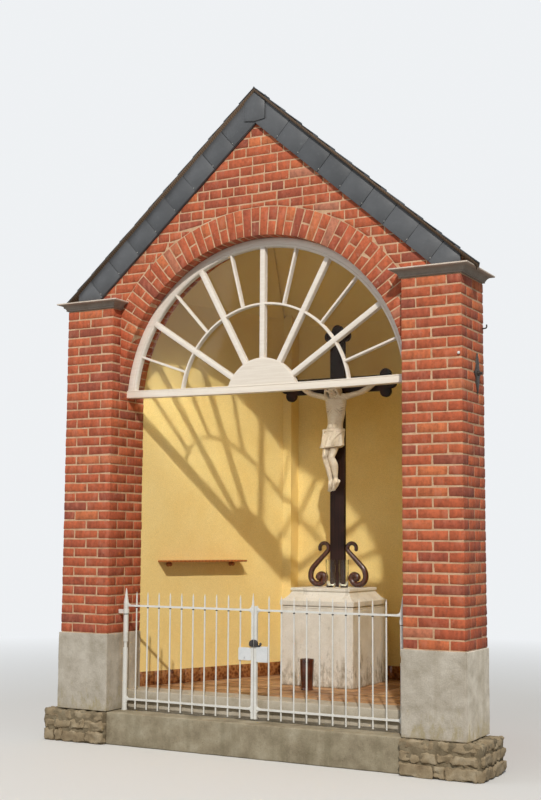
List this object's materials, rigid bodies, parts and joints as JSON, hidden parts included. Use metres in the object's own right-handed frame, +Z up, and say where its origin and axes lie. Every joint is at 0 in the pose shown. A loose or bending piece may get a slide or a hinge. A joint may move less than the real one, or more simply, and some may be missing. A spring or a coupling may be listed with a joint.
{
  "type": "wayside shrine",
  "caption": "Brick wayside shrine with an arched gable, half-round fanlight, slate roof, iron gates, and a cross on a stone pedestal inside.",
  "frame": {"origin": "middle of the footprint at the lowest ground, under the foot of the walls", "axes": "+Z up, -Y out of the open front, +X to the right of someone who looks at the front"},
  "size_m": [3.716, 2.52, 5.155],
  "materials": {
    "rubble": "rough rubble stone",
    "concrete": "weathered render and concrete",
    "brick": "rough fired clay with pale mortar",
    "capital_stone": "moulded stone",
    "plaster": "matt lime plaster",
    "tiles": "worn floor tiles",
    "skirting_tiles": "mottled tiles",
    "slate": "natural slate",
    "white_timber": "cracked white paint",
    "glass": "clear",
    "pedestal_stone": "weathered stone",
    "dark_wood": "dark varnish",
    "cast_white": "painted cast",
    "glass_vase": "clear",
    "brown_glaze": "dark brown glaze",
    "light_wood": "varnished",
    "iron": "dark and weathered",
    "white_iron": "white paint"
  },
  "bodies": {
    "shrine": {"footing_left": "rubble", "footing_right": "rubble", "kerb": "concrete", "step_base": "concrete", "step_slab": "concrete", "floor_base": "concrete", "floor_tiles": "tiles", "plinth_left": "concrete", "plinth_right": "concrete", "pier_left": "brick", "pier_right": "brick", "capital_left": "capital_stone", "capital_right": "capital_stone", "arch_ring": "brick", "gable_wall": "brick", "side_wall_left": "brick", "side_wall_right": "brick", "back_wall": "brick", "plaster_left": "plaster", "plaster_right": "plaster", "plaster_back": "plaster", "ceiling": "plaster", "skirting": "skirting_tiles", "roof_left": "slate", "roof_right": "slate", "roof_back": "slate", "verge_left": "slate", "verge_right": "slate", "transom": "white_timber", "fan_frame": "white_timber", "fan_bars": "white_timber", "fan_glass": "glass", "pedestal": "pedestal_stone", "pedestal_cap": "pedestal_stone", "cross": "dark_wood", "figure": "cast_white", "scrolls": "dark_wood", "glass_vases": "glass_vase", "floor_vase": "brown_glaze", "shelf": "light_wood", "wall_irons": "iron", "gate_fixings": "white_iron"},
    "leaf_left": {"gate_leaf_left": "white_iron", "lock_left": "white_iron"},
    "leaf_right": {"gate_leaf_right": "white_iron", "lock_right": "white_iron"}
  },
  "joints": [
    {"name": "gate_left_hinge", "type": "hinge", "parent": "shrine", "child": "leaf_left", "pos_m": [-1.198, -1.025, 0.262], "axis": [0, 0, -1], "range_deg": [0, 90]},
    {"name": "gate_right_hinge", "type": "hinge", "parent": "shrine", "child": "leaf_right", "pos_m": [1.198, -1.025, 0.262], "axis": [0, 0, 1], "range_deg": [0, 90]}
  ]
}
